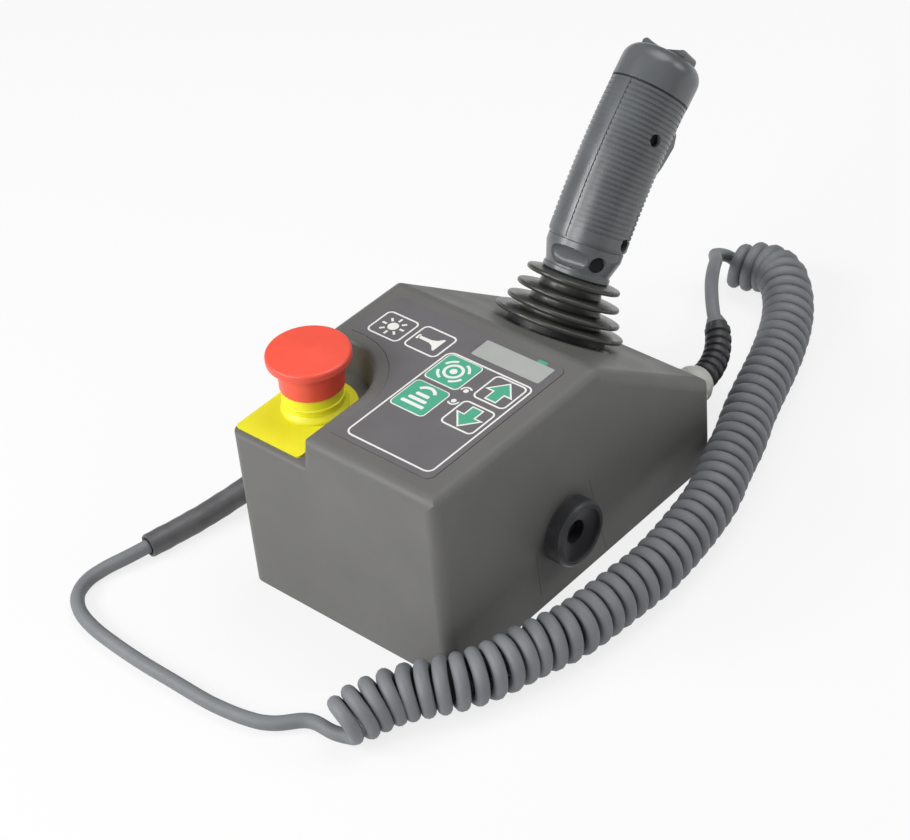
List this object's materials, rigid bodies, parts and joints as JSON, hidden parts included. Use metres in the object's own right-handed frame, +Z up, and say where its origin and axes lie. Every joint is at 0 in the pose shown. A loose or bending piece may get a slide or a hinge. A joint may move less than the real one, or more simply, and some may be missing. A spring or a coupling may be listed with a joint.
{
  "type": "control box",
  "caption": "Control box with a sloped rear, sprung joystick with bellows, thumb rocker and trigger, twist-release stop button, sealed key panel, sounder and coiled cord.",
  "frame": {"origin": "centre of the flat base, on the surface the box stands on", "axes": "+X operator's right, +Y away from the operator, +Z up"},
  "size_m": [0.2417, 0.4267, 0.1936],
  "materials": {
    "housing": "moulded dark grey plastic, fine satin texture",
    "black_plastic": "black moulded plastic",
    "grip_plastic": "dark grey moulded grip plastic",
    "rubber": "black rubber",
    "cord": "dark grey cord jacket",
    "overlay": "printed polyester sheet",
    "window": "clear display lens over a grey display",
    "yellow": "yellow moulded plastic",
    "red": "red moulded plastic",
    "grey_plastic": "grey plastic",
    "steel": "zinc plated steel"
  },
  "bodies": {
    "base": {"enclosure": "housing", "bottom_cover": "housing", "cover_gasket": "rubber", "cover_screws": "steel", "graphic_overlay": "overlay", "display_window": "window", "stop_plate": "yellow", "stop_collar": "yellow", "stop_barrel": "grey_plastic", "stop_nut": "grey_plastic", "stop_contacts": "black_plastic", "stick_flange": "black_plastic", "flange_screws": "steel", "stick_housing": "black_plastic", "pivot_pin": "steel", "bellows": "rubber", "sounder_body": "black_plastic", "sounder_ring": "black_plastic", "sounder_nut": "grey_plastic", "gland_body": "grey_plastic", "gland_nut": "grey_plastic", "gland_locknut": "grey_plastic", "strain_relief": "rubber", "cord_lead": "cord", "cord_coil": "cord", "cord_tail": "cord", "cord_sleeve": "rubber", "plug_shell": "black_plastic", "plug_insert": "black_plastic", "plug_pins": "steel"},
    "stop_plunger": {"stop_plunger": "grey_plastic"},
    "stop_head": {"stop_head": "red"},
    "stick": {"stick_shaft": "steel", "grip_collar": "grip_plastic", "grip_left": "grip_plastic", "grip_right": "grip_plastic", "grip_screws": "steel", "grip_cap": "grip_plastic", "rocker_pin": "steel", "trigger_pin": "steel"},
    "rocker": {"thumb_rocker": "grip_plastic"},
    "trigger": {"trigger": "grip_plastic"}
  },
  "joints": [
    {"name": "stop_press", "type": "slide", "parent": "base", "child": "stop_plunger", "axis": [0, 0, -1], "range_m": [0, 0.005]},
    {"name": "stop_twist", "type": "hinge", "parent": "stop_plunger", "child": "stop_head", "pos_m": [-0.0428, -0.0625, 0.1], "axis": [0, 0, 1], "range_deg": [0, 45], "stiffness_Nm_per_rad": 0.1},
    {"name": "stick_tilt", "type": "hinge", "parent": "base", "child": "stick", "pos_m": [0, 0.05155, 0.06442], "axis": [1, 0, 0], "range_deg": [-18, 18], "stiffness_Nm_per_rad": 6, "deforming": ["bellows"]},
    {"name": "rocker_tilt", "type": "hinge", "parent": "stick", "child": "rocker", "pos_m": [0, 0.15116, 0.18035], "axis": [0, 0.6525, -0.7578], "range_deg": [-10, 10], "stiffness_Nm_per_rad": 0.2},
    {"name": "trigger_pull", "type": "hinge", "parent": "stick", "child": "trigger", "pos_m": [0, 0.13736, 0.1504], "axis": [-1, 0, 0], "range_deg": [0, 8], "stiffness_Nm_per_rad": 0.5}
  ]
}
